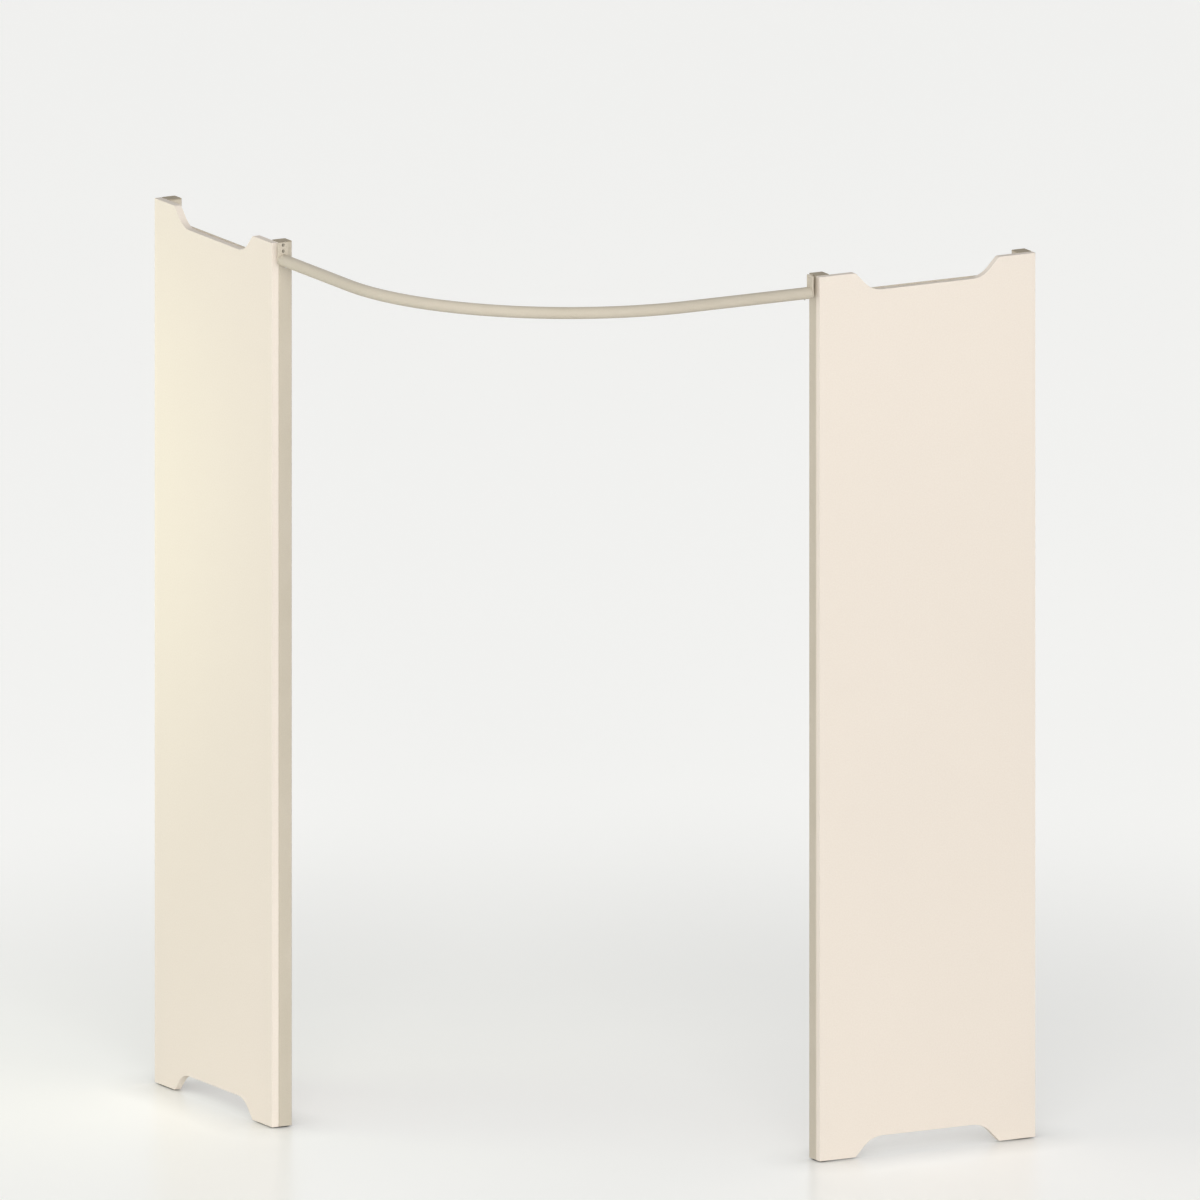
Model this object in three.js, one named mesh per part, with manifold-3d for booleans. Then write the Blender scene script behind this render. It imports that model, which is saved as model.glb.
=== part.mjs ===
// A corner fitting room: two scalloped panels on square posts, and a curved curtain rail between them.
// Millimetres, +Z up. The origin is on the floor, under the middle of the square plan. The left panel's
// outer face looks along -X and the right panel's along -Y. The rail joins their free ends, and the kit is
// fastened by the posts at their other ends, which look along +Y on the left and +X on the right.
import * as THREE from "three";
import { mergeVertices } from "three/addons/utils/BufferGeometryUtils.js";
import Module from "manifold-3d";

const wasm = await Module();
wasm.setup();

// Driving sizes
const plan_side = 1508;
const panel_width = 570;
const panel_height = 2100;
const panel_thickness = 18;
const post_side = 35;
const post_wall = 2;
const rail_diameter = 28;
const rail_wall = 1.5;
const rail_leg = 320;
const rail_drop = 39;

// Clearances
const seat_gap = 0.3;
const panel_gap = 0.5;
const hole_clearance = 0.3;
const cut_overrun = 5;
const join_overlap = 1;

// Panel outline: the scallop cut into its top and bottom edges
const scallop_foot = 95;
const scallop_depth = 45;
const scallop_radius = 65;
const scallop_top_corner_radius = 9;
const scallop_bottom_corner_radius = 3;
const scallop_slant = THREE.MathUtils.degToRad(46);
const panel_edge_easing = 1;

// Posts, level with the panels' lower edges. The feet hold both off the floor.
const floor_gap = 3;
const post_corner_radius = 3;
const post_rise = 0.5;

// Post caps
const cap_flange = 2;
const cap_plug_height = 16;
const cap_plug_wall = 1.6;

// Levelling feet
const insert_height = 24;
const stem_radius = 4;
const stem_rise = 38;
const pad_radius = 15;
const pad_height = 2.5;
const pad_edge = 0.8;
const pad_socket_depth = 1.4;

// Strips on the back of the panels
const strip_height = 40;
const strip_thickness = 3;
const strip_end_gap = 1;
const strip_reveal = 2.5;
const strip_lower_clearance = 6;

// Rail plates, a little above the post caps, and the folded angles that hold them off the posts
const plate_width = 28;
const plate_height = 51;
const plate_thickness = 3;
const plate_corner_radius = 2;
const plate_rise = 2.5;
const plate_axis_inset = 21.5;
const angle_thickness = 2.5;
const angle_reach = 11.5;
const angle_front_inset = 13.5;
const angle_top_drop = 1.5;
const spigot_length = 26;
const plate_screw_inset = 5.8;
const plate_screw_pitch = 14.5;

// Holes for fastening screws, through the two posts away from the rail
const wall_hole_radius = 3.5;
const wall_access_radius = 7;

// Screws: radius of head and thread, height of head and of its bevel, chamfer at the tip, length of
// thread in what the screw holds to, and the driver's recess
const panel_screw = {
  head_radius: 4.6,
  head_height: 3,
  head_bevel: 1,
  tip_chamfer: 1.2,
  thread_radius: 2.5,
  bite: 13,
  recess_radius: 1.9,
  recess_depth: 1.8,
};
const strip_screw = {
  head_radius: 4,
  head_height: 2.4,
  head_bevel: 0.8,
  tip_chamfer: 1,
  thread_radius: 2,
  bite: 11,
  recess_radius: 1.6,
  recess_depth: 1.5,
};
const plate_screw = {
  head_radius: 3.4,
  head_height: 1.6,
  tip_chamfer: 1,
  thread_radius: 2,
  bite: 5,
  recess_radius: 1.8,
  recess_depth: 1.3,
};
const grub_screw = {
  thread_radius: 2,
  length: 4,
  recess_radius: 1,
  recess_depth: 1.8,
};
const grub_distance = 13;

// Places along a piece, as shares of its length
const panel_screw_shares = [0.1, 0.5, 0.9];
const wall_hole_shares = [0.2, 0.6, 0.85];
const strip_screw_shares = [0.12, 0.88];

// Counts of flats and steps
const hole_sides = 12;
const screw_sides = 8;
const round_sides = 20;
const rail_sides = 20;
const rail_bend_steps = 26;
const rail_stretches = rail_bend_steps + 2;
const corner_steps = 2;
const scallop_corner_steps = 4;
const scallop_steps = 8;

// What follows from the sizes
const half_plan = plan_side / 2;
const post_depth = panel_thickness + panel_gap;
const post_axis_depth = post_depth + post_side / 2;
const assembly_depth = post_depth + post_side;
const post_inner_side = post_side - 2 * post_wall;
const plug_side = post_inner_side - 2 * hole_clearance;
const post_length = panel_height + post_rise - cap_flange - seat_gap;
const angle_start = panel_width + seat_gap;
const plate_start = angle_start + angle_reach + seat_gap;
const plate_face = plate_start + plate_thickness;
const rail_start = plate_face + seat_gap;
const rail_radius = rail_diameter / 2;
const rail_bore_radius = rail_radius - rail_wall;
const rail_height = panel_height - rail_drop;
const rail_bend_radius = plan_side - plate_axis_inset - rail_start - rail_leg;
const spigot_radius = rail_bore_radius - seat_gap;
const plate_top = panel_height + plate_rise;
const angle_width = plate_axis_inset + plate_width / 2 - angle_front_inset;
const angle_height = plate_height - angle_top_drop;
const upper_strip_top = panel_height - scallop_depth + strip_reveal;
const lower_strip_top = scallop_depth + strip_lower_clearance + strip_height;
const strip_length = panel_width - 2 * (post_side + strip_end_gap);

const materials = {
  board: new THREE.MeshStandardMaterial({ color: 0xeee2d5, roughness: 0.55, metalness: 0 }),
  coat: new THREE.MeshStandardMaterial({ color: 0xcfc6b4, roughness: 0.5, metalness: 0.1 }),
  cap: new THREE.MeshStandardMaterial({ color: 0xb0a48f, roughness: 0.6, metalness: 0 }),
  insert: new THREE.MeshStandardMaterial({ color: 0x3b3a37, roughness: 0.7, metalness: 0 }),
  steel: new THREE.MeshStandardMaterial({ color: 0xa9a9a6, roughness: 0.35, metalness: 0.9 }),
};

// A closed geometry as a solid that can be cut and joined
function solidOf(geometry) {
  const bare = geometry.clone();
  bare.deleteAttribute("normal");
  bare.deleteAttribute("uv");
  const merged = mergeVertices(bare);
  return new wasm.Manifold(
    new wasm.Mesh({
      numProp: 3,
      vertProperties: merged.attributes.position.array,
      triVerts: new Uint32Array(merged.index.array),
    }),
  );
}

function geometryOf(solid) {
  const mesh = solid.getMesh();
  const geometry = new THREE.BufferGeometry();
  geometry.setAttribute("position", new THREE.BufferAttribute(mesh.vertProperties, 3));
  geometry.setIndex(new THREE.BufferAttribute(mesh.triVerts, 1));
  const faceted = geometry.toNonIndexed();
  faceted.computeVertexNormals();
  return faceted;
}

// The geometry with each cutter taken out
function drilled(geometry, cutters) {
  const cut = cutters.reduce((solid, cutter) => solid.subtract(solidOf(cutter)), solidOf(geometry));
  return geometryOf(cut);
}

function joined(geometries) {
  const whole = geometries.map(solidOf).reduce((solid, other) => solid.add(other));
  return geometryOf(whole);
}

// A round rod between two places on an axis: x, y or z, through the point at
function rod(radius, axis, from, to, at, sides = hole_sides) {
  const geometry = new THREE.CylinderGeometry(radius, radius, to - from, sides);
  const middle = (from + to) / 2;
  if (axis === "x") geometry.rotateZ(Math.PI / 2).translate(middle, at[0], at[1]);
  if (axis === "y") geometry.translate(at[0], middle, at[1]);
  if (axis === "z") geometry.rotateX(Math.PI / 2).translate(at[0], at[1], middle);
  return geometry;
}

// A rectangle with rounded corners, centred on the origin
function roundedRectangle(outline, width, height, radius) {
  const x = width / 2 - radius;
  const y = height / 2 - radius;
  outline.moveTo(x + radius, -y);
  outline.absarc(x, y, radius, 0, Math.PI / 2);
  outline.absarc(-x, y, radius, Math.PI / 2, Math.PI);
  outline.absarc(-x, -y, radius, Math.PI, (3 * Math.PI) / 2);
  outline.absarc(x, -y, radius, (3 * Math.PI) / 2, 2 * Math.PI);
  return outline;
}

function rectangle(outline, width, height) {
  outline.moveTo(-width / 2, -height / 2);
  outline.lineTo(width / 2, -height / 2);
  outline.lineTo(width / 2, height / 2);
  outline.lineTo(-width / 2, height / 2);
  outline.closePath();
  return outline;
}

function extruded(shape, depth, steps = corner_steps) {
  return new THREE.ExtrudeGeometry(shape, { depth, bevelEnabled: false, curveSegments: steps });
}

function piece(name, geometry, material, at = [0, 0, 0]) {
  const mesh = new THREE.Mesh(geometry, material);
  mesh.name = name;
  mesh.position.set(...at);
  return mesh;
}

// Half of one scalloped edge, from its outer corner to the middle, as places along the edge and depths
// cut into it
function scallopHalf(corner_radius) {
  const run = scallop_depth / Math.tan(scallop_slant);
  const corner_tangent = corner_radius * Math.tan(scallop_slant / 2);
  const inner_tangent = scallop_radius * Math.tan(scallop_slant / 2);
  const points = [];
  const corner_along = scallop_foot - corner_tangent;
  for (let i = 0; i <= scallop_corner_steps; i++) {
    const angle = (scallop_slant * i) / scallop_corner_steps;
    points.push([
      corner_along + corner_radius * Math.sin(angle),
      corner_radius * (1 - Math.cos(angle)),
    ]);
  }
  const flat_along = scallop_foot + run + inner_tangent;
  for (let i = scallop_steps; i >= 0; i--) {
    const angle = (scallop_slant * i) / scallop_steps;
    points.push([
      flat_along - scallop_radius * Math.sin(angle),
      scallop_depth - scallop_radius * (1 - Math.cos(angle)),
    ]);
  }
  return points;
}

// The panel's outline, once round: across it runs from the end away from the rail, up it runs from its
// lower edge
function panelShape() {
  const bottom = scallopHalf(scallop_bottom_corner_radius);
  const top = scallopHalf(scallop_top_corner_radius);
  const outline = [
    [0, 0],
    ...bottom,
    ...bottom.map(([along, depth]) => [panel_width - along, depth]).reverse(),
    [panel_width, 0],
    [panel_width, panel_height],
    ...top.map(([along, depth]) => [panel_width - along, panel_height - depth]),
    ...top.map(([along, depth]) => [along, panel_height - depth]).reverse(),
    [0, panel_height],
  ];
  return new THREE.Shape(outline.map(([x, y]) => new THREE.Vector2(x, y)));
}

// Where the screws enter the back of a panel, as [along, up, screw]
function panelScrewPlaces() {
  const posts = [post_side / 2, panel_width - post_side / 2].flatMap((along) =>
    panel_screw_shares.map((share) => [along, share * panel_height, panel_screw]),
  );
  const strips = [upper_strip_top, lower_strip_top].flatMap((top) =>
    strip_screw_shares.map((share) => [
      post_side + strip_end_gap + share * strip_length,
      top - strip_height / 2,
      strip_screw,
    ]),
  );
  return [...posts, ...strips];
}

// A panel drawn with its back at zero and its outer face at the panel's thickness
function panel(side) {
  const board = new THREE.ExtrudeGeometry(panelShape(), {
    depth: panel_thickness - 2 * panel_edge_easing,
    bevelThickness: panel_edge_easing,
    bevelSize: panel_edge_easing,
    bevelOffset: -panel_edge_easing,
    bevelSegments: 1,
  });
  board.translate(0, 0, panel_edge_easing);
  const pilots = panelScrewPlaces().map(([along, up, screw]) =>
    rod(
      screw.thread_radius + hole_clearance,
      "z",
      -cut_overrun,
      screw.bite + hole_clearance,
      [along, up],
    ),
  );
  const mesh = piece(`${side}_panel`, drilled(board, pilots), materials.board, [panel_thickness, 0, 0]);
  const frame = new THREE.Matrix4().makeBasis(
    new THREE.Vector3(0, -1, 0),
    new THREE.Vector3(0, 0, 1),
    new THREE.Vector3(-1, 0, 0),
  );
  mesh.quaternion.setFromRotationMatrix(frame);
  return mesh;
}

// A square tube. Its own origin is on its axis at its lower end.
function post(side, end, along) {
  const section = roundedRectangle(new THREE.Shape(), post_side, post_side, post_corner_radius);
  section.holes.push(rectangle(new THREE.Path(), post_inner_side, post_inner_side));
  const tube = extruded(section, post_length);
  const reach = post_side / 2 + cut_overrun;
  const cutters = panel_screw_shares.map((share) =>
    rod(panel_screw.thread_radius + hole_clearance, "x", -reach, reach, [0, share * panel_height]),
  );
  if (end === "wall") {
    for (const share of wall_hole_shares) {
      const height = share * panel_height;
      cutters.push(rod(wall_hole_radius, "y", 0, reach, [0, height]));
      cutters.push(rod(wall_access_radius, "y", -reach, 0, [0, height]));
    }
  }
  return piece(`${side}_${end}_post`, drilled(tube, cutters), materials.coat, [
    post_axis_depth,
    -along,
    0,
  ]);
}

function postCap(side, end, along) {
  const flange_shape = roundedRectangle(new THREE.Shape(), post_side, post_side, post_corner_radius);
  const flange = extruded(flange_shape, cap_flange);
  const plug_shape = rectangle(new THREE.Shape(), plug_side, plug_side);
  const plug_core = plug_side - 2 * cap_plug_wall;
  plug_shape.holes.push(rectangle(new THREE.Path(), plug_core, plug_core));
  const plug = extruded(plug_shape, cap_plug_height + join_overlap).translate(0, 0, -cap_plug_height);
  return piece(`${side}_${end}_post_cap`, joined([flange, plug]), materials.cap, [
    post_axis_depth,
    -along,
    panel_height + post_rise - cap_flange,
  ]);
}

function footInsert(side, end, along) {
  const body = extruded(rectangle(new THREE.Shape(), plug_side, plug_side), insert_height);
  const bore = rod(stem_radius + hole_clearance, "z", -cut_overrun, insert_height + cut_overrun, [0, 0]);
  return piece(`${side}_${end}_foot_insert`, drilled(body, [bore]), materials.insert, [
    post_axis_depth,
    -along,
    0,
  ]);
}

function footStem(side, end, along) {
  const bottom = pad_height - pad_socket_depth + seat_gap;
  const stem = rod(stem_radius, "z", bottom, pad_height + stem_rise, [0, 0]);
  return piece(`${side}_${end}_foot_stem`, stem, materials.steel, [post_axis_depth, -along, -floor_gap]);
}

function footPad(side, end, along) {
  const socket_floor = pad_height - pad_socket_depth;
  const socket_radius = stem_radius + hole_clearance;
  const profile = [
    [0, 0],
    [pad_radius - pad_edge, 0],
    [pad_radius, pad_edge],
    [pad_radius, pad_height - pad_edge],
    [pad_radius - pad_edge, pad_height],
    [socket_radius, pad_height],
    [socket_radius, socket_floor],
    [0, socket_floor],
  ].map(([r, z]) => new THREE.Vector2(r, z));
  const pad = new THREE.LatheGeometry(profile, round_sides).rotateX(Math.PI / 2);
  return piece(`${side}_${end}_foot_pad`, pad, materials.insert, [post_axis_depth, -along, -floor_gap]);
}

// A screw with its thread along -Y from the seat under its head at zero. Countersunk heads sit below it.
function screwGeometry(screw, thread_length, countersunk = false) {
  const head_top = countersunk ? 0 : screw.head_height;
  const head = countersunk
    ? [
        [screw.thread_radius, -screw.head_height],
        [screw.head_radius, 0],
      ]
    : [
        [screw.thread_radius, 0],
        [screw.head_radius, 0],
        [screw.head_radius, head_top - screw.head_bevel],
        [screw.head_radius - screw.head_bevel, head_top],
      ];
  const profile = [
    [0, -thread_length],
    [screw.thread_radius - screw.tip_chamfer, -thread_length],
    [screw.thread_radius, -thread_length + screw.tip_chamfer],
    ...head,
    [screw.recess_radius, head_top],
    [screw.recess_radius, head_top - screw.recess_depth],
    [0, head_top - screw.recess_depth],
  ].map(([r, y]) => new THREE.Vector2(r, y));
  return new THREE.LatheGeometry(profile, screw_sides);
}

// The screws that hold a post to its panel, driven from inside the cabin
function panelScrews(side, end, along) {
  const head_seat = assembly_depth + seat_gap;
  const thread_length = head_seat - panel_thickness + panel_screw.bite - seat_gap;
  return panel_screw_shares.map((share, i) =>
    piece(
      `${side}_${end}_panel_screw_${i + 1}`,
      screwGeometry(panel_screw, thread_length).rotateZ(-Math.PI / 2),
      materials.steel,
      [head_seat, -along, share * panel_height],
    ),
  );
}

// A flat strip on the back of the panel, between the posts, and its two screws
function strip(side, level, top) {
  const start = post_side + strip_end_gap;
  const bar = new THREE.BoxGeometry(strip_thickness, strip_length, strip_height);
  const reach = strip_thickness / 2 + cut_overrun;
  const holes = strip_screw_shares.map((share) =>
    rod(strip_screw.thread_radius + hole_clearance, "x", -reach, reach, [
      strip_length / 2 - share * strip_length,
      0,
    ]),
  );
  const middle = top - strip_height / 2;
  const back = panel_thickness + seat_gap + strip_thickness;
  const bar_mesh = piece(`${side}_${level}_strip`, drilled(bar, holes), materials.coat, [
    back - strip_thickness / 2,
    -(start + strip_length / 2),
    middle,
  ]);
  const head_seat = back + seat_gap;
  const thread_length = head_seat - panel_thickness + strip_screw.bite - seat_gap;
  const screws = strip_screw_shares.map((share, i) =>
    piece(
      `${side}_${level}_strip_screw_${i + 1}`,
      screwGeometry(strip_screw, thread_length).rotateZ(-Math.PI / 2),
      materials.steel,
      [head_seat, -(start + share * strip_length), middle],
    ),
  );
  return [bar_mesh, ...screws];
}

// Heights of the plate's two screws, measured down from its top edge
function plateScrewDrops() {
  return [plate_screw_inset, plate_screw_inset + plate_screw_pitch];
}

// The folded angle on the free-end post: one leg stands out from the post, the other lies behind the rail
// plate and carries it, a little lower than the plate's top edge
function railAngle(side) {
  const corner_x = angle_width - angle_thickness;
  const corner_y = angle_thickness - angle_reach;
  const outline = [
    [angle_width, 0],
    [corner_x, 0],
    [corner_x, corner_y],
    [0, corner_y],
    [0, -angle_reach],
    [angle_width, -angle_reach],
  ].map(([x, y]) => new THREE.Vector2(x, y));
  const angle = extruded(new THREE.Shape(outline), angle_height);
  const hole_radius = plate_screw.thread_radius + hole_clearance;
  const holes = plateScrewDrops().map((drop) =>
    rod(hole_radius, "y", -angle_reach - cut_overrun, corner_y + cut_overrun, [
      plate_axis_inset - angle_front_inset,
      angle_height + angle_top_drop - drop,
    ]),
  );
  return piece(`${side}_rail_angle`, drilled(angle, holes), materials.coat, [
    angle_front_inset,
    -angle_start,
    plate_top - plate_height,
  ]);
}

// The plate at the rail's end, with the spigot that the tube slides over. Its own origin is on the
// rail's axis at the plate's back, and it is drawn facing along -Y.
function railPlate(side) {
  const top = plate_top - rail_height;
  const outline = roundedRectangle(new THREE.Shape(), plate_width, plate_height, plate_corner_radius);
  const slab = extruded(outline, plate_thickness)
    .rotateX(Math.PI / 2)
    .translate(0, 0, top - plate_height / 2);
  const spigot = rod(
    spigot_radius,
    "y",
    -(plate_thickness + spigot_length),
    join_overlap - plate_thickness,
    [0, 0],
    round_sides,
  );
  const hole_radius = plate_screw.thread_radius + hole_clearance;
  const sink_slope = (plate_screw.head_radius - plate_screw.thread_radius) / plate_screw.head_height;
  const sink_length = plate_screw.head_height + join_overlap;
  const sink_radius = hole_radius + sink_slope * sink_length;
  const cutters = plateScrewDrops().flatMap((drop) => [
    rod(hole_radius, "y", -plate_thickness - cut_overrun, cut_overrun, [0, top - drop]),
    new THREE.CylinderGeometry(hole_radius, sink_radius, sink_length, hole_sides).translate(
      0,
      plate_screw.head_height - plate_thickness - sink_length / 2,
      top - drop,
    ),
  ]);
  const whole = joined([slab, spigot]);
  return piece(`${side}_rail_plate`, drilled(whole, cutters), materials.coat, [
    plate_axis_inset,
    -plate_start,
    rail_height,
  ]);
}

function plateScrews(side) {
  const thread_length = plate_thickness + plate_screw.bite;
  return plateScrewDrops().map((drop, i) =>
    piece(
      `${side}_rail_plate_screw_${i + 1}`,
      screwGeometry(plate_screw, thread_length, true).rotateX(Math.PI),
      materials.coat,
      [plate_axis_inset, -plate_face, plate_top - drop],
    ),
  );
}

// The grub screw that comes up through the tube's wall to the spigot
function grubScrew(side) {
  const tip = spigot_radius + seat_gap;
  const profile = [
    [0, -grub_screw.length + grub_screw.recess_depth],
    [grub_screw.recess_radius, -grub_screw.length + grub_screw.recess_depth],
    [grub_screw.recess_radius, -grub_screw.length],
    [grub_screw.thread_radius, -grub_screw.length],
    [grub_screw.thread_radius, 0],
    [0, 0],
  ].map(([r, y]) => new THREE.Vector2(r, y));
  const screw = new THREE.LatheGeometry(profile, screw_sides).rotateX(Math.PI / 2);
  return piece(`${side}_rail_grub_screw`, screw, materials.steel, [
    plate_axis_inset,
    -(rail_start + grub_distance),
    rail_height - tip,
  ]);
}

// One panel with all that is fixed to it. Its own origin is at the lower outer corner of the end away from
// the rail: X runs inwards, the panel runs along -Y.
function sideAssembly(side) {
  const assembly = new THREE.Group();
  assembly.add(panel(side));
  for (const [end, along] of [
    ["wall", post_side / 2],
    ["free", panel_width - post_side / 2],
  ]) {
    assembly.add(post(side, end, along));
    assembly.add(postCap(side, end, along));
    assembly.add(footInsert(side, end, along));
    assembly.add(footStem(side, end, along));
    assembly.add(footPad(side, end, along));
    assembly.add(...panelScrews(side, end, along));
  }
  assembly.add(...strip(side, "upper", upper_strip_top));
  assembly.add(...strip(side, "lower", lower_strip_top));
  assembly.add(railAngle(side));
  assembly.add(railPlate(side));
  assembly.add(...plateScrews(side));
  assembly.add(grubScrew(side));
  assembly.position.set(-half_plan, half_plan, floor_gap);
  return assembly;
}

// The rail's centre line: straight out of the left plate, a quarter bend, straight into the right one.
// Its stations are the two ends and the steps of the bend, so the straight legs take one step each.
class RailRoute extends THREE.Curve {
  getPoint(share) {
    const station = share * rail_stretches;
    const axis = -half_plan + plate_axis_inset;
    const bend_centre = axis + rail_bend_radius;
    const angle = (Math.PI / 2) * THREE.MathUtils.clamp((station - 1) / rail_bend_steps, 0, 1);
    const first_leg = rail_leg * (1 - Math.min(station, 1));
    const last_leg = rail_leg * Math.max(station - 1 - rail_bend_steps, 0);
    return new THREE.Vector3(
      bend_centre - rail_bend_radius * Math.cos(angle) + last_leg,
      bend_centre - rail_bend_radius * Math.sin(angle) + first_leg,
      rail_height,
    );
  }

  getPointAt(share) {
    return this.getPoint(share);
  }

  getTangentAt(share) {
    const station = share * rail_stretches;
    const angle = (Math.PI / 2) * THREE.MathUtils.clamp((station - 1) / rail_bend_steps, 0, 1);
    return new THREE.Vector3(Math.sin(angle), -Math.cos(angle), 0);
  }
}

function curtainRail() {
  const section = new THREE.Shape().absarc(0, 0, rail_radius, 0, 2 * Math.PI);
  section.holes.push(new THREE.Path().absarc(0, 0, rail_bore_radius, 0, 2 * Math.PI));
  const tube = new THREE.ExtrudeGeometry(section, {
    steps: rail_stretches,
    curveSegments: rail_sides / 2,
    extrudePath: new RailRoute(),
  });
  const axis = -half_plan + plate_axis_inset;
  const leg_end = half_plan - rail_start - grub_distance;
  const hole_radius = grub_screw.thread_radius + hole_clearance;
  const holes = [
    [axis, leg_end],
    [leg_end, axis],
  ].map((at) => rod(hole_radius, "z", rail_height - rail_radius - cut_overrun, rail_height, at));
  return piece("curtain_rail", drilled(tube, holes), materials.coat, [0, 0, floor_gap]);
}

// The right side is the left one turned a quarter and mirrored, so the two meet across the diagonal
function mirroredSide(assembly) {
  const turned = new THREE.Group();
  turned.rotation.z = Math.PI / 2;
  turned.add(assembly);
  const mirrored = new THREE.Group();
  mirrored.scale.x = -1;
  mirrored.add(turned);
  return mirrored;
}

const fitting_room = new THREE.Group();
fitting_room.name = "fitting_room";
fitting_room.add(sideAssembly("left"));
fitting_room.add(mirroredSide(sideAssembly("right")));
fitting_room.add(curtainRail());

export default fitting_room;
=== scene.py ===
"""The visual model of a corner fitting room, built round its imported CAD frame. Lengths are in metres, and
the sizes below repeat the CAD model's own, in millimetres times MM."""
import math

import bmesh
import bpy
from mathutils import Matrix, Vector


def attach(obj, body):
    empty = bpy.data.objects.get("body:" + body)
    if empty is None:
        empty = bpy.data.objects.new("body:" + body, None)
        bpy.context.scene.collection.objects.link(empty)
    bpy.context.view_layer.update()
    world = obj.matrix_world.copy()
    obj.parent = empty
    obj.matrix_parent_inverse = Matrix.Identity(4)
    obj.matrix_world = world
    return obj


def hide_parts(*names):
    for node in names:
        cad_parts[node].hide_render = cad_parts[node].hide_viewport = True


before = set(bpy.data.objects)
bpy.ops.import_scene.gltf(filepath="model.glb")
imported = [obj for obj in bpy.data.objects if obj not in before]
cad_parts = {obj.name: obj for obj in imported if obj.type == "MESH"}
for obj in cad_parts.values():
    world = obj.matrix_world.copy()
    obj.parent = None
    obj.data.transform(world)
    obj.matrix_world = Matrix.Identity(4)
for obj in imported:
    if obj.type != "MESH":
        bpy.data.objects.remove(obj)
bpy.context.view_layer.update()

MM = 0.001

# The CAD model's driving sizes
PLAN_SIDE = 1508 * MM
PANEL_WIDTH = 570 * MM
PANEL_HEIGHT = 2100 * MM
PANEL_THICKNESS = 18 * MM
POST_SIDE = 35 * MM
POST_WALL = 2 * MM
RAIL_RADIUS = 14 * MM
RAIL_WALL = 1.5 * MM
RAIL_LEG = 320 * MM
RAIL_DROP = 39 * MM
SEAT_GAP = 0.3 * MM
PANEL_GAP = 0.5 * MM
HOLE_CLEARANCE = 0.3 * MM
CUT_OVERRUN = 5 * MM

# The scallop cut into a board's top and bottom edges
SCALLOP_FOOT = 95 * MM
SCALLOP_DEPTH = 45 * MM
SCALLOP_RADIUS = 65 * MM
SCALLOP_TOP_CORNER = 9 * MM
SCALLOP_BOTTOM_CORNER = 3 * MM
SCALLOP_SLANT = math.radians(46)

# Posts, caps and feet
POST_CORNER = 3 * MM
POST_BORE_CORNER = 1 * MM
FLOOR_GAP = 3 * MM
POST_RISE = 0.5 * MM
CAP_FLANGE = 2 * MM
CAP_PLUG_HEIGHT = 16 * MM
CAP_PLUG_WALL = 1.6 * MM
INSERT_HEIGHT = 24 * MM
STEM_RADIUS = 4 * MM
STEM_RISE = 38 * MM
THREAD_PITCH = 1.25 * MM
THREAD_DEPTH = 0.6 * MM
PAD_RADIUS = 15 * MM
PAD_HEIGHT = 2.5 * MM
PAD_SOCKET = 1.4 * MM
WALL_HOLE_RADIUS = 3.5 * MM
WALL_ACCESS_RADIUS = 7 * MM
INSERT_RIB = 0.5 * MM
PAD_RIM = 0.8 * MM
PAD_GROOVE = 0.35 * MM
PAD_GROOVE_RADII = (11.5 * MM, 9 * MM, 6.5 * MM)

# Strips, rail plates and their angles
STRIP_HEIGHT = 40 * MM
STRIP_THICKNESS = 3 * MM
STRIP_END_GAP = 1 * MM
STRIP_REVEAL = 2.5 * MM
STRIP_LOWER_CLEARANCE = 6 * MM
STRIP_CORNER = 1 * MM
PLATE_WIDTH = 28 * MM
PLATE_HEIGHT = 51 * MM
PLATE_THICKNESS = 3 * MM
PLATE_CORNER = 2 * MM
PLATE_RISE = 2.5 * MM
PLATE_AXIS_INSET = 21.5 * MM
ANGLE_THICKNESS = 2.5 * MM
ANGLE_REACH = 11.5 * MM
ANGLE_FRONT_INSET = 13.5 * MM
ANGLE_TOP_DROP = 1.5 * MM
SPIGOT_LENGTH = 26 * MM
PLATE_SCREW_INSET = 5.8 * MM
PLATE_SCREW_PITCH = 14.5 * MM
GRUB_DISTANCE = 13 * MM

# Screws: radius and height of the head, radius of the shank, depth it bites, and corner radius and
# depth of the hexagon socket
PANEL_SCREW = {"head": 4.6 * MM, "height": 3 * MM, "shank": 2.5 * MM, "bite": 13 * MM, "socket": 1.9 * MM,
               "depth": 1.8 * MM}
STRIP_SCREW = {"head": 4 * MM, "height": 2.4 * MM, "shank": 2 * MM, "bite": 11 * MM, "socket": 1.6 * MM,
               "depth": 1.5 * MM}
PLATE_SCREW = {"head": 3.4 * MM, "height": 1.6 * MM, "shank": 2 * MM, "bite": 5 * MM, "socket": 1.8 * MM,
               "depth": 1.3 * MM}
GRUB_SCREW = {"shank": 2 * MM, "length": 4 * MM, "socket": 1 * MM, "depth": 1.8 * MM}
GRUB_TIP_RADIUS = 0.2 * MM
SCREW_CHAMFER = 1 * MM
SCREW_RIM = 1 * MM
SINK_RIM = 0.15 * MM

PANEL_SCREW_SHARES = (0.1, 0.5, 0.9)
WALL_HOLE_SHARES = (0.2, 0.6, 0.85)
STRIP_SCREW_SHARES = (0.12, 0.88)
# Where a rib of the insert starts and ends, as shares of its pitch, and whether it stands out there
RIB_SHARES = ((0.2, 0), (0.3, 1), (0.7, 1), (0.8, 0))

# Edge roundings of the visible pieces, the angle's fold, and the room round a sunk screw's head
BOARD_ROUND = 0.8 * MM
PLATE_ROUND = 0.4 * MM
ANGLE_ROUND = 0.3 * MM
FOLD_INNER = 1 * MM
FOLD_OUTER = FOLD_INNER + ANGLE_THICKNESS
STRIP_ROUND = 0.4 * MM
CAP_ROUND = 0.6 * MM
SINK_CLEARANCE = 0.1 * MM
TUBE_END_ROUND = 0.3 * MM

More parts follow.
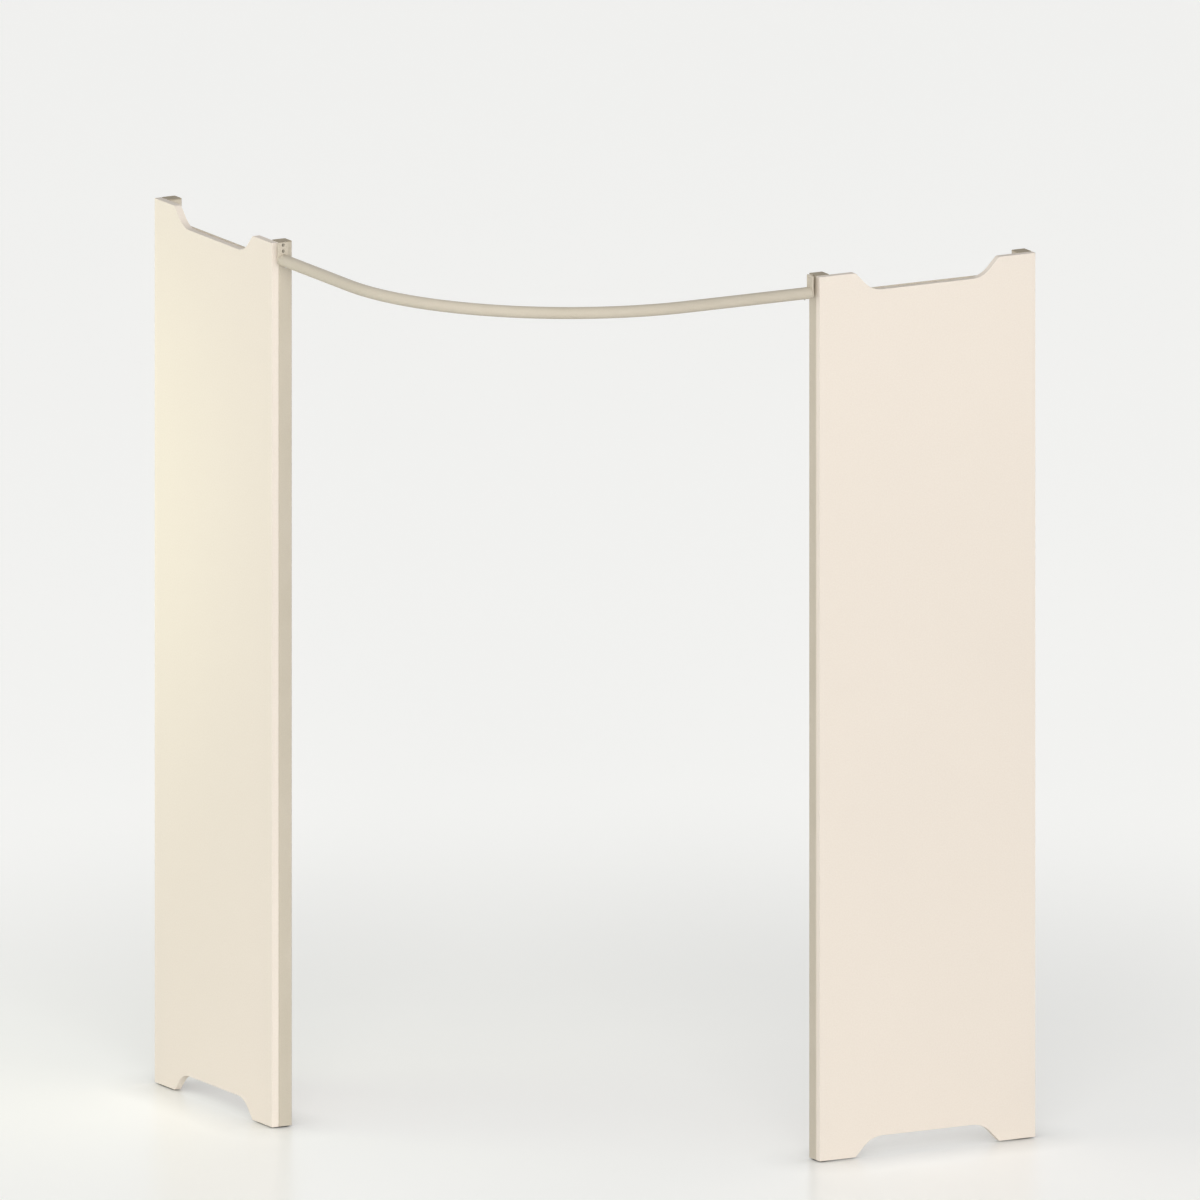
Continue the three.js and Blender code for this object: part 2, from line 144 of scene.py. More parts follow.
# Mesh making: points closer than this are joined, a corner's bisector counts as at least this share,
# and an edge stays sharp above its angle
WELD_DISTANCE = 0.001 * MM
BISECTOR_LEAST_SHARE = 0.3
SHARP_ANGLE = math.radians(30)
SCREW_SHARP_ANGLE = math.radians(25)
THREAD_SHARP_ANGLE = math.radians(60)
CORNER_STEPS = 6
STRIP_CORNER_STEPS = 4
FOLD_OUTER_STEPS = 8
FOLD_INNER_STEPS = 6
CAP_STEPS = 4
RIM_STEPS = 5
HOLE_SIDES = 32
TURNED_SIDES = 48
SCREW_SIDES = 36
PAD_SIDES = 64

# Depths of the finishes' grain
COARSE_GRAIN = 0.2 * MM
FINE_GRAIN = 0.1 * MM

# What follows from the sizes
HALF_PLAN = PLAN_SIDE / 2
POST_DEPTH = PANEL_THICKNESS + PANEL_GAP
POST_AXIS_DEPTH = POST_DEPTH + POST_SIDE / 2
ASSEMBLY_DEPTH = POST_DEPTH + POST_SIDE
POST_TOP = PANEL_HEIGHT + POST_RISE - CAP_FLANGE - SEAT_GAP
PLATE_TOP = PANEL_HEIGHT + PLATE_RISE
ANGLE_START = PANEL_WIDTH + SEAT_GAP
PLATE_START = ANGLE_START + ANGLE_REACH + SEAT_GAP
PLATE_FACE = PLATE_START + PLATE_THICKNESS
RAIL_START = PLATE_FACE + SEAT_GAP
RAIL_HEIGHT = PANEL_HEIGHT - RAIL_DROP
RAIL_BEND = PLAN_SIDE - PLATE_AXIS_INSET - RAIL_START - RAIL_LEG
UPPER_STRIP_TOP = PANEL_HEIGHT - SCALLOP_DEPTH + STRIP_REVEAL
LOWER_STRIP_TOP = SCALLOP_DEPTH + STRIP_LOWER_CLEARANCE + STRIP_HEIGHT
STRIP_LENGTH = PANEL_WIDTH - 2 * (POST_SIDE + STRIP_END_GAP)
PLUG_SIDE = POST_SIDE - 2 * POST_WALL - 2 * HOLE_CLEARANCE
PLATE_SCREW_HEIGHTS = tuple(PLATE_TOP - PLATE_SCREW_INSET - i * PLATE_SCREW_PITCH for i in range(2))

# Each side has its own axes: across runs into the cabin from the board's outer face, along runs towards
# the free end that carries the rail, and up runs from the board's lower edge. These matrices take them to
# the common frame, whose floor lies a small gap lower.
SIDES = {
    "left": Matrix(((1, 0, 0, -HALF_PLAN), (0, -1, 0, HALF_PLAN), (0, 0, 1, FLOOR_GAP), (0, 0, 0, 1))),
    "right": Matrix(((0, -1, 0, HALF_PLAN), (1, 0, 0, -HALF_PLAN), (0, 0, 1, FLOOR_GAP), (0, 0, 0, 1))),
}
ENDS = {"wall": POST_SIDE / 2, "free": PANEL_WIDTH - POST_SIDE / 2}

# Light, floor and background. Glow is painted light that the floor adds for the camera: the first value up
# to the near distance from the middle, the far one beyond the far distance, so the glow is weaker near the
# object. The reach and share of the painted contact shade are how far the floor is painted darker beside
# what stands on it, and the share of its tone that stays there.
SKY_TOP = 0.15
SKY_HORIZON = 2.09
SKY_FALL = 1.5
SKY_BACK_SHARE = 0.4
FLOOR_REACH = 100
FLOOR_GLOW = 0.23
FAR_GLOW = 0.365
GLOW_NEAR = 1.3
GLOW_FAR = 3.6
PAINTED_SHADE_REACH = 150 * MM
PAINTED_SHADE_SHARE = 0.5

# Lamps: degrees for angles and spread, metres for distance and size, watts, and a display colour. The aim
# shares are of the board's height, and for the rail of its straight end.
LAMPS = {
    "front_left_box": {"azimuth": 27, "elevation": 20, "distance": 14, "width": 8, "height": 4,
                       "power": 635, "colour": (255, 254, 252), "spread": 180},
    "warm_side_box": {"azimuth": 118, "elevation": 4, "distance": 1.3, "width": 0.8, "height": 0.8,
                      "power": 5.5, "colour": (242, 255, 212), "spread": 180},
    "rail_box": {"azimuth": 60, "elevation": 58, "distance": 1.1, "width": 0.6, "height": 0.6,
                 "power": 1.9, "colour": (255, 254, 250), "spread": 180},
    "low_front_box": {"azimuth": 20, "elevation": 4, "distance": 1.6, "width": 0.6, "height": 0.4,
                      "power": 0.3, "colour": (255, 253, 248), "spread": 70},
}
FRONT_AIM_SHARE = 0.5
WARM_AIM_SHARE = 0.65
RAIL_AIM_SHARE = 0.25
LOW_AIM_SHARE = 0.15

# Camera: the photograph's view, which is parallel to within a pixel
VIEW_AZIMUTH = math.radians(28.55)
VIEW_ELEVATION = math.radians(12.15)
FRAME_WIDTH = 2786.6 * MM
VIEW_RIGHT = -290.4 * MM
VIEW_UP = 970.6 * MM
VIEW_DISTANCE = 12


def make_camera():
    """A parallel view from the left of the front, aimed from the back corner of the square plan."""
    ahead = Vector((math.sin(VIEW_AZIMUTH), math.cos(VIEW_AZIMUTH), 0))
    right = Vector((math.cos(VIEW_AZIMUTH), -math.sin(VIEW_AZIMUTH), 0))
    forward = ahead * math.cos(VIEW_ELEVATION) - Vector((0, 0, math.sin(VIEW_ELEVATION)))
    up = right.cross(forward)
    target = Vector((HALF_PLAN, HALF_PLAN, 0)) + right * VIEW_RIGHT + up * VIEW_UP
    data = bpy.data.cameras.new("camera")
    data.type = "ORTHO"
    data.ortho_scale = FRAME_WIDTH
    data.clip_end = VIEW_DISTANCE + FLOOR_REACH
    camera = bpy.data.objects.new("camera", data)
    bpy.context.scene.collection.objects.link(camera)
    camera.location = target - forward * VIEW_DISTANCE
    camera.rotation_mode = "QUATERNION"
    camera.rotation_quaternion = forward.to_track_quat("-Z", "Y")
    bpy.context.scene.camera = camera


# Materials

def srgb(red, green, blue):
    """A colour written in display numbers from 0 to 255, as linear light."""
    def linear(value):
        share = value / 255
        return share / 12.92 if share <= 0.04045 else ((share + 0.055) / 1.055) ** 2.4
    return (linear(red), linear(green), linear(blue), 1)


class Nodes:
    """Short calls for a material's nodes."""

    def __init__(self, name):
        self.material = bpy.data.materials.new(name)
        self.material.use_nodes = True
        self.tree = self.material.node_tree
        self.shader = self.tree.nodes["Principled BSDF"]
        self.place = self.add("ShaderNodeTexCoord").outputs["Object"]

    def add(self, kind, **settings):
        node = self.tree.nodes.new(kind)
        for key, value in settings.items():
            setattr(node, key, value)
        return node

    def link(self, source, target):
        self.tree.links.new(source, target)

    def stretched(self, x, y, z):
        """The object's coordinates, scaled."""
        mapping = self.add("ShaderNodeMapping")
        mapping.inputs["Scale"].default_value = (x, y, z)
        self.link(self.place, mapping.inputs["Vector"])
        return mapping.outputs["Vector"]

    def noise(self, scale, detail=2, roughness=0.5, place=None):
        node = self.add("ShaderNodeTexNoise")
        node.inputs["Scale"].default_value = scale
        node.inputs["Detail"].default_value = detail
        node.inputs["Roughness"].default_value = roughness
        self.link(place or self.place, node.inputs["Vector"])
        return node.outputs["Fac"]

    def cells(self, scale):
        node = self.add("ShaderNodeTexVoronoi")
        node.inputs["Scale"].default_value = scale
        self.link(self.place, node.inputs["Vector"])
        return node.outputs["Distance"]

    def ramp(self, value, stops):
        """A value turned into a colour, through stops of (place, colour)."""
        node = self.add("ShaderNodeValToRGB")
        elements = node.color_ramp.elements
        while len(elements) < len(stops):
            elements.new(1)
        for element, (position, colour) in zip(elements, stops):
            element.position = position
            element.color = colour
        self.link(value, node.inputs["Fac"])
        return node.outputs["Color"]

    def ranged(self, value, low, high):
        """A value from 0 to 1 turned into one from low to high."""
        node = self.add("ShaderNodeMapRange")
        node.inputs["To Min"].default_value = low
        node.inputs["To Max"].default_value = high
        self.link(value, node.inputs["Value"])
        return node.outputs["Result"]

    def mixed(self, factor, first, second, blend="MIX"):
        """Two colours mixed by a value or a fixed share."""
        node = self.add("ShaderNodeMix", data_type="RGBA", blend_type=blend)
        for socket, value in ((0, factor), (6, first), (7, second)):
            if hasattr(value, "is_linked"):
                self.link(value, node.inputs[socket])
            else:
                node.inputs[socket].default_value = value
        return node.outputs[2]

    def bump(self, height, strength, distance, below=None):
        node = self.add("ShaderNodeBump")
        node.inputs["Strength"].default_value = strength
        node.inputs["Distance"].default_value = distance
        self.link(height, node.inputs["Height"])
        if below:
            self.link(below, node.inputs["Normal"])
        return node.outputs["Normal"]

    def set(self, **sockets):
        """Sets or links the shader's sockets; an underscore stands for a space."""
        for key, value in sockets.items():
            socket = self.shader.inputs[key.replace("_", " ")]
            if hasattr(value, "is_linked"):
                self.link(value, socket)
            else:
                socket.default_value = value
        return self.material


def board_material():
    """Cream satin lacquer on a smooth board: the faintest mottle, roller stipple and long soft waves."""
    n = Nodes("cream_lacquer")
    cloud = n.noise(1.2, 3, 0.5)
    mottle = n.noise(260, 3, 0.6)
    tone = n.ramp(cloud, [(0.3, srgb(240, 230, 218)), (0.7, srgb(242, 232, 220))])
    fleck = n.ramp(mottle, [(0.35, srgb(252, 251, 250)), (0.65, srgb(255, 255, 255))])
    colour = n.mixed(1.0, tone, fleck, "MULTIPLY")
    stipple = n.noise(900, 2, 0.5)
    normal = n.bump(stipple, 0.12, COARSE_GRAIN)
    rough = n.ranged(n.noise(25, 3), 0.47, 0.55)
    return n.set(Base_Color=colour, Roughness=rough, Normal=normal, Specular_IOR_Level=0.4)


def coat_material():
    """Taupe powder coat on steel: a fine orange peel, with tiny lighter grains."""
    n = Nodes("taupe_powder_coat")
    cloud = n.noise(6, 3, 0.5)
    tone = n.ramp(cloud, [(0.3, srgb(206, 197, 180)), (0.7, srgb(211, 202, 186))])
    grain = n.ramp(n.noise(1400, 2, 0.7), [(0.35, srgb(243, 242, 240)), (0.7, srgb(255, 255, 255))])
    colour = n.mixed(1.0, tone, grain, "MULTIPLY")
    peel = n.cells(800)
    normal = n.bump(peel, 0.18, COARSE_GRAIN, n.bump(n.noise(2600, 1), 0.1, FINE_GRAIN))
    rough = n.ranged(n.noise(40, 3), 0.42, 0.54)
    return n.set(Base_Color=colour, Roughness=rough, Normal=normal, Specular_IOR_Level=0.45)


def cap_material():
    """Moulded plastic in a slightly greener taupe, with a fine spark-eroded grain."""
    n = Nodes("taupe_plastic")
    tone = n.ramp(n.noise(30, 3), [(0.3, srgb(172, 160, 139)), (0.7, srgb(179, 167, 147))])
    normal = n.bump(n.noise(3200, 2, 0.7), 0.25, FINE_GRAIN)
    rough = n.ranged(n.noise(300, 2), 0.55, 0.68)
    return n.set(Base_Color=tone, Roughness=rough, Normal=normal, Specular_IOR_Level=0.25)


def insert_material():
    """Dark grey glass-filled plastic, a little mottled."""
    n = Nodes("dark_plastic")
    tone = n.ramp(n.noise(180, 4, 0.65), [(0.3, srgb(54, 53, 51)), (0.75, srgb(70, 69, 66))])
    normal = n.bump(n.noise(2400, 2, 0.6), 0.2, FINE_GRAIN)
    rough = n.ranged(n.noise(120, 3), 0.5, 0.7)
    return n.set(Base_Color=tone, Roughness=rough, Normal=normal)


def zinc_material():
    """Zinc-plated steel, with the light spangle of passivated plating and turning marks."""
    n = Nodes("zinc_plate")
    tone = n.ramp(n.noise(220, 3, 0.6), [(0.3, srgb(196, 195, 190)), (0.55, srgb(208, 207, 204)),
                                         (0.8, srgb(202, 205, 208))])
    marks = n.noise(2600, 3, 0.6, n.stretched(1, 1, 0.3))
    normal = n.bump(marks, 0.12, FINE_GRAIN)
    rough = n.ranged(n.noise(500, 3), 0.26, 0.42)
    return n.set(Base_Color=tone, Metallic=1.0, Roughness=rough, Normal=normal)


# Mesh helpers

PIECES = []


def even_shading():
    """Keeps the light on each large flat face even, up to the roundings along its edges."""
    for piece in PIECES:
        modifier = piece.modifiers.new("weighted_normals", "WEIGHTED_NORMAL")
        modifier.keep_sharp = True


def new_piece(name, mesh, material, body, replaced, side=None):
    """A mesh as a piece of the visual model, in a side's axes if one is given."""
    if side:
        mesh.transform(SIDES[side])
        if SIDES[side].determinant() < 0:
            mesh.flip_normals()
    mesh.materials.append(material)
    piece = bpy.data.objects.new(name, mesh)
    bpy.context.scene.collection.objects.link(piece)
    PIECES.append(piece)
    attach(piece, body)
    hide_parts(*replaced)
    return piece


def mesh_of(name, bm, sharp_angle=SHARP_ANGLE):
    """A bmesh as a mesh, with outward normals, smooth except at its sharp edges."""
    bmesh.ops.remove_doubles(bm, verts=bm.verts, dist=WELD_DISTANCE)
    bmesh.ops.recalc_face_normals(bm, faces=bm.faces)
    for face in bm.faces:
        face.smooth = True
    for edge in bm.edges:
        if len(edge.link_faces) == 2 and edge.calc_face_angle(0) > sharp_angle:
            edge.smooth = False
    mesh = bpy.data.meshes.new(name)
    bm.to_mesh(mesh)
    bm.free()
    return mesh


def arc(centre_x, centre_y, radius, start, end, steps):
    """Points along an arc, with both its ends."""
    return [
        (centre_x + radius * math.cos(start + (end - start) * i / steps),
         centre_y + radius * math.sin(start + (end - start) * i / steps))
        for i in range(steps + 1)
    ]


def rounded_rectangle(width, height, radius, steps=CORNER_STEPS):
    """Its outline, anticlockwise, centred on the origin."""
    x = width / 2 - radius
    y = height / 2 - radius
    turn = math.pi / 2
    return [
        point
        for i, (cx, cy) in enumerate([(x, y), (-x, y), (-x, -y), (x, -y)])
        for point in arc(cx, cy, radius, i * turn, (i + 1) * turn, steps)
    ]


def circle(radius, sides):
    """A circle about the origin, as points at even turns."""
    return [
        (radius * math.cos(2 * math.pi * i / sides), radius * math.sin(2 * math.pi * i / sides))
        for i in range(sides)
    ]


def hexagon(corner_radius, sides):
    """A hexagon whose corners lie at a radius, as points at even turns."""
    points = []
    for i in range(sides):
        angle = 2 * math.pi * i / sides
        local = (angle + math.pi / 6) % (math.pi / 3) - math.pi / 6
        reach = corner_radius * math.cos(math.pi / 6) / math.cos(local)
        points.append((reach * math.cos(angle), reach * math.sin(angle)))
    return points


def bridge(bm, lower, upper):
    """Quads between two closed rings with the same count of points."""
    count = len(lower)
    for i in range(count):
        j = (i + 1) % count
        bm.faces.new((lower[i], lower[j], upper[j], upper[i]))


def ring_of(bm, outline, place, level):
    """An outline's points as vertices. Place turns (x, y, level) into a point."""
    return [bm.verts.new(place(x, y, level)) for x, y in outline]


def bridge_rings(bm, rings, closed=False):
    """Quads between each ring and the next, and from the last to the first if closed."""
    following = rings[1:] + rings[:1] if closed else rings[1:]
    for lower, upper in zip(rings, following):
        bridge(bm, lower, upper)


def inset_outline(outline, distance):
    """A closed outline moved inwards by a distance, along the bisectors of its corners."""
    moved = []
    count = len(outline)
    for i in range(count):
        before = Vector(outline[i - 1])
        here = Vector(outline[i])
        after = Vector(outline[(i + 1) % count])
        first = (here - before).normalized()
        second = (after - here).normalized()
        inward = Vector((-first.y - second.y, first.x + second.x)).normalized()
        reach = distance / max(inward.dot(Vector((-first.y, first.x))), BISECTOR_LEAST_SHARE)
        moved.append(tuple(here + inward * reach))
    return moved


def rounded_slab(bm, outline, low, high, radius, place, steps=3):
    """An outline pulled from low to high with both rims rounded. Place is as for a ring."""
    rings = []
    for level, sign in ((low, 1), (high, -1)):
        rims = []
        for i in range(steps + 1):
            angle = math.pi / 2 * i / steps
            inset = radius * (1 - math.sin(angle))
            rise = radius * (1 - math.cos(angle))
            rims.append((inset, level + sign * rise))
        rings += rims if sign == 1 else rims[::-1]
    made = []
    for inset, level in rings:
        ring = inset_outline(outline, inset) if inset > 0 else outline
        made.append(ring_of(bm, ring, place, level))
    bridge_rings(bm, made)
    bm.faces.new(made[0][::-1])
    bm.faces.new(made[-1])


def lathe(bm, profile, sides, place):
    """A profile of (radius, height) turned about an axis. Place is as for a ring."""
    rings = []
    for radius, height in profile:
        if radius == 0:
            rings.append([bm.verts.new(place(0, 0, height))])
            continue
        rings.append(ring_of(bm, circle(radius, sides), place, height))
    for lower, upper in zip(rings, rings[1:]):
        if len(lower) == 1 or len(upper) == 1:
            tip, ring = (lower[0], upper) if len(lower) == 1 else (upper[0], lower)
            for i in range(sides):
                bm.faces.new((tip, ring[i], ring[(i + 1) % sides]))
        else:
            bridge(bm, lower, upper)


def cut(piece, name, cutters, side=None):
    """Takes cutters, in a side's axes if one is given, out of a piece's mesh for good."""
    cutter_mesh = mesh_of(name, cutters)
    if side:
        cutter_mesh.transform(SIDES[side])
    cutter = bpy.data.objects.new("cutter", cutter_mesh)
    bpy.context.scene.collection.objects.link(cutter)
    modifier = piece.modifiers.new("cut", "BOOLEAN")
    modifier.operation = "DIFFERENCE"
    modifier.solver = "EXACT"
    modifier.object = cutter
    graph = bpy.context.evaluated_depsgraph_get()
    graph.update()
    cut_mesh = bpy.data.meshes.new_from_object(piece.evaluated_get(graph))
    piece.modifiers.clear()
    piece.data = cut_mesh
    bpy.data.objects.remove(cutter)


# Boards

def scallop_half(corner_radius, corner_steps=8, steps=16):
    """Half of a scalloped edge, as (along, depth), from near the corner to the start of the flat."""
    run = SCALLOP_DEPTH / math.tan(SCALLOP_SLANT)
    corner_along = SCALLOP_FOOT - corner_radius * math.tan(SCALLOP_SLANT / 2)
    flat_along = SCALLOP_FOOT + run + SCALLOP_RADIUS * math.tan(SCALLOP_SLANT / 2)
    points = []
    for i in range(corner_steps + 1):
        angle = SCALLOP_SLANT * i / corner_steps
        depth = corner_radius * (1 - math.cos(angle))
        points.append((corner_along + corner_radius * math.sin(angle), depth))
    for i in range(steps, -1, -1):
        angle = SCALLOP_SLANT * i / steps
        depth = SCALLOP_DEPTH - SCALLOP_RADIUS * (1 - math.cos(angle))
        points.append((flat_along - SCALLOP_RADIUS * math.sin(angle), depth))
    return points


def board_outline():
    """A board's outline as (along, up), with both scalloped edges."""
    bottom = scallop_half(SCALLOP_BOTTOM_CORNER)
    top = scallop_half(SCALLOP_TOP_CORNER)
    outline = [(0, 0)] + bottom
    outline += [(PANEL_WIDTH - a, d) for a, d in reversed(bottom)]
    outline += [(PANEL_WIDTH, 0), (PANEL_WIDTH, PANEL_HEIGHT)]
    outline += [(PANEL_WIDTH - a, PANEL_HEIGHT - d) for a, d in top]
    outline += [(a, PANEL_HEIGHT - d) for a, d in reversed(top)]
    return outline + [(0, PANEL_HEIGHT)]


def make_board(side, material):
    """One board, its outer face across zero."""
    bm = bmesh.new()
    rounded_slab(bm, board_outline(), 0, PANEL_THICKNESS, BOARD_ROUND,
                 lambda along, up, across: (across, along, up))
    mesh = mesh_of(f"{side}_board", bm)
    new_piece(f"{side}_board", mesh, material, "frame", [f"{side}_panel"], side)


# Posts and what is in them

def in_post(along):
    """A call that takes (x, y, level) about a post's axis to its side's axes."""
    return lambda x, y, level: (POST_AXIS_DEPTH + x, along + y, level)


def make_post(side, end, along, material):
    """A rounded square tube, open at both ends. The wall-end one has the holes it is fastened through."""
    outer = rounded_rectangle(POST_SIDE, POST_SIDE, POST_CORNER)
    bore = POST_SIDE - 2 * POST_WALL
    inner = rounded_rectangle(bore, bore, POST_BORE_CORNER)
    bm = bmesh.new()
    rings = []
    for outline, level in ((inner, 0), (outer, 0), (outer, POST_TOP), (inner, POST_TOP)):
        rings.append(ring_of(bm, outline, in_post(along), level))
    bridge_rings(bm, rings, closed=True)
    name = f"{side}_{end}_post_tube"
    post = new_piece(name, mesh_of(name, bm), material, "frame", [f"{side}_{end}_post"], side)
    if end == "free":
        return
    cutters = bmesh.new()
    reach = POST_SIDE / 2 + CUT_OVERRUN
    for share in WALL_HOLE_SHARES:
        height = share * PANEL_HEIGHT
        for radius, start, stop in ((WALL_HOLE_RADIUS, -reach, 0), (WALL_ACCESS_RADIUS, 0, reach)):
            lathe(cutters, [(0, start), (radius, start), (radius, stop), (0, stop)], HOLE_SIDES,
                  lambda x, y, w: (POST_AXIS_DEPTH + x, along + w, height + y))
    cut(post, "fastening_holes", cutters, side)


def make_cap(side, end, along, material):
    """A plug-in end cap: a flange with a softened top edge, and its hollow plug."""
    bm = bmesh.new()
    top = PANEL_HEIGHT + POST_RISE
    base = top - CAP_FLANGE
    outline = rounded_rectangle(POST_SIDE, POST_SIDE, POST_CORNER)
    levels = [(0, base)]
    for i in range(CAP_STEPS + 1):
        angle = math.pi / 2 * i / CAP_STEPS
        levels.append((CAP_ROUND * (1 - math.cos(angle)), top - CAP_ROUND + CAP_ROUND * math.sin(angle)))
    rings = []
    plug_outer = rounded_rectangle(PLUG_SIDE, PLUG_SIDE, POST_BORE_CORNER)
    plug_bore = PLUG_SIDE - 2 * CAP_PLUG_WALL
    plug_inner = rounded_rectangle(plug_bore, plug_bore, POST_BORE_CORNER)
    low = base - CAP_PLUG_HEIGHT
    for ring, level in ((plug_inner, base), (plug_inner, low), (plug_outer, low), (plug_outer, base)):
        rings.append(ring_of(bm, ring, in_post(along), level))
    for inset, level in levels:
        ring = inset_outline(outline, inset) if inset else outline
        rings.append(ring_of(bm, ring, in_post(along), level))
    bridge_rings(bm, rings)
    bm.faces.new(rings[0])
    bm.faces.new(rings[-1])
    name = f"{side}_{end}_end_cap"
    new_piece(name, mesh_of(name, bm), material, "frame", [f"{side}_{end}_post_cap"], side)


def make_insert(side, end, along, material):
    """The insert that the foot's screw turns in, with ribs down its four sides."""
    bm = bmesh.new()
    half = PLUG_SIDE / 2
    ribs = 5
    outline = []
    for turn in range(4):
        angle = turn * math.pi / 2
        for i in range(ribs):
            for step, out in RIB_SHARES:
                v = -half + INSERT_RIB + (i + step) / ribs * 2 * (half - INSERT_RIB)
                u = half - INSERT_RIB * (1 - out)
                outline.append((u * math.cos(angle) - v * math.sin(angle),
                                u * math.sin(angle) + v * math.cos(angle)))
    count = len(outline)
    bore = STEM_RADIUS + HOLE_CLEARANCE
    hole = [(bore * math.cos(2 * math.pi * (i + 0.5) / count - math.pi / 4),
             bore * math.sin(2 * math.pi * (i + 0.5) / count - math.pi / 4)) for i in range(count)]
    rings = []
    for ring, level in ((hole, 0), (outline, 0), (outline, INSERT_HEIGHT), (hole, INSERT_HEIGHT)):
        rings.append(ring_of(bm, ring, in_post(along), level))
    bridge_rings(bm, rings, closed=True)
    name = f"{side}_{end}_threaded_insert"
    new_piece(name, mesh_of(name, bm), material, "frame", [f"{side}_{end}_foot_insert"], side)


def make_stem(side, end, along, material):
    """The foot's screw, with a real thread wound round it."""
    bottom = PAD_HEIGHT - PAD_SOCKET + SEAT_GAP - FLOOR_GAP
    top = PAD_HEIGHT + STEM_RISE - FLOOR_GAP
    sides = 24
    rows_per_turn = 6
    rise = THREAD_PITCH / rows_per_turn
    rows = int((top - bottom) / rise)
    bm = bmesh.new()
    rings = []
    for row in range(rows + 1):
        level = bottom + (top - bottom) * row / rows
        outline = []
        for i in range(sides):
            turn = i / sides
            phase = (level / THREAD_PITCH - turn) % 1
            depth = THREAD_DEPTH * abs(2 * phase - 1)
            fade = min(1, (top - level) / THREAD_PITCH, (level - bottom) / THREAD_PITCH)
            radius = STEM_RADIUS - THREAD_DEPTH + (THREAD_DEPTH - depth) * fade
            angle = 2 * math.pi * turn
            outline.append((radius * math.cos(angle), radius * math.sin(angle)))
        rings.append(ring_of(bm, outline, in_post(along), level))
    bridge_rings(bm, rings)
    bm.faces.new(rings[0])
    bm.faces.new(rings[-1])
    name = f"{side}_{end}_foot_screw"
    body = f"{side}_{end}_leveller"
    new_piece(name, mesh_of(name, bm, THREAD_SHARP_ANGLE), material, body,
              [f"{side}_{end}_foot_stem"], side)


def make_pad(side, end, along, material):
    """The foot's round pad, with a softened rim, three grooves and a socket for the screw."""
    socket = STEM_RADIUS + HOLE_CLEARANCE
    socket_floor = PAD_HEIGHT - PAD_SOCKET
    flat_radius = PAD_RADIUS - PAD_RIM
    profile = [(0, 0), (flat_radius, 0)]
    profile += arc(flat_radius, PAD_RIM, PAD_RIM, -math.pi / 2, 0, RIM_STEPS)[1:]
    profile += arc(flat_radius, PAD_HEIGHT - PAD_RIM, PAD_RIM, 0, math.pi / 2, RIM_STEPS)
    for radius in PAD_GROOVE_RADII:
        profile.append((radius + PAD_GROOVE, PAD_HEIGHT))
        profile.append((radius, PAD_HEIGHT - PAD_GROOVE))
        profile.append((radius - PAD_GROOVE, PAD_HEIGHT))
    profile += [(socket, PAD_HEIGHT), (socket, socket_floor), (0, socket_floor)]
    bm = bmesh.new()
    lathe(bm, profile, PAD_SIDES, lambda x, y, z: (POST_AXIS_DEPTH + x, along + y, z - FLOOR_GAP))
    name = f"{side}_{end}_foot_disc"
    body = f"{side}_{end}_leveller"
    new_piece(name, mesh_of(name, bm), material, body, [f"{side}_{end}_foot_pad"], side)


# Screws

def screw_mesh(name, screw, length, place, countersunk=False):
    """A socket screw. Height runs out of the head from its seat, or from its flat top if countersunk."""
    bm = bmesh.new()
    top = 0 if countersunk else screw["height"]
    head = screw["head"]
    shank = screw["shank"]
    profile = [(0, -length), (shank - SCREW_CHAMFER, -length), (shank, SCREW_CHAMFER - length)]
    if countersunk:
        profile += [(shank, -screw["height"]), (head, -SINK_RIM), (head, 0)]
    else:
        profile += [(shank, 0), (head, 0), (head, top - SCREW_RIM)]
        profile += arc(head - SCREW_RIM, top - SCREW_RIM, SCREW_RIM, 0, math.pi / 2, RIM_STEPS)[1:]
    rings = []
    for radius, height in profile:
        rings.append(ring_of(bm, circle(radius, SCREW_SIDES), place, height))
    for height in (top, top - screw["depth"]):
        rings.append(ring_of(bm, hexagon(screw["socket"], SCREW_SIDES), place, height))
    bridge_rings(bm, rings)
    bm.faces.new(rings[-1])
    return mesh_of(name, bm, SCREW_SHARP_ANGLE)


def make_panel_screws(side, end, along, material):
    """The screws from inside the cabin through a post into the board."""
    seat = ASSEMBLY_DEPTH + SEAT_GAP
    length = seat - PANEL_THICKNESS + PANEL_SCREW["bite"] - SEAT_GAP
    for i, share in enumerate(PANEL_SCREW_SHARES):
        height = share * PANEL_HEIGHT
        name = f"{side}_{end}_board_screw_{i + 1}"
        mesh = screw_mesh(name, PANEL_SCREW, length, lambda x, y, w: (seat + w, along + x, height + y))
        new_piece(name, mesh, material, "frame", [f"{side}_{end}_panel_screw_{i + 1}"], side)


def make_plate_screws(side, material):
    """The sunk screws that hold the rail's plate to its angle."""
    length = PLATE_THICKNESS + PLATE_SCREW["bite"]
    for i, height in enumerate(PLATE_SCREW_HEIGHTS):
        name = f"{side}_plate_screw_{i + 1}"
        mesh = screw_mesh(name, PLATE_SCREW, length,
                          lambda x, y, w: (PLATE_AXIS_INSET + x, PLATE_FACE + w, height + y), True)
        new_piece(name, mesh, material, "frame", [f"{side}_rail_plate_screw_{i + 1}"], side)


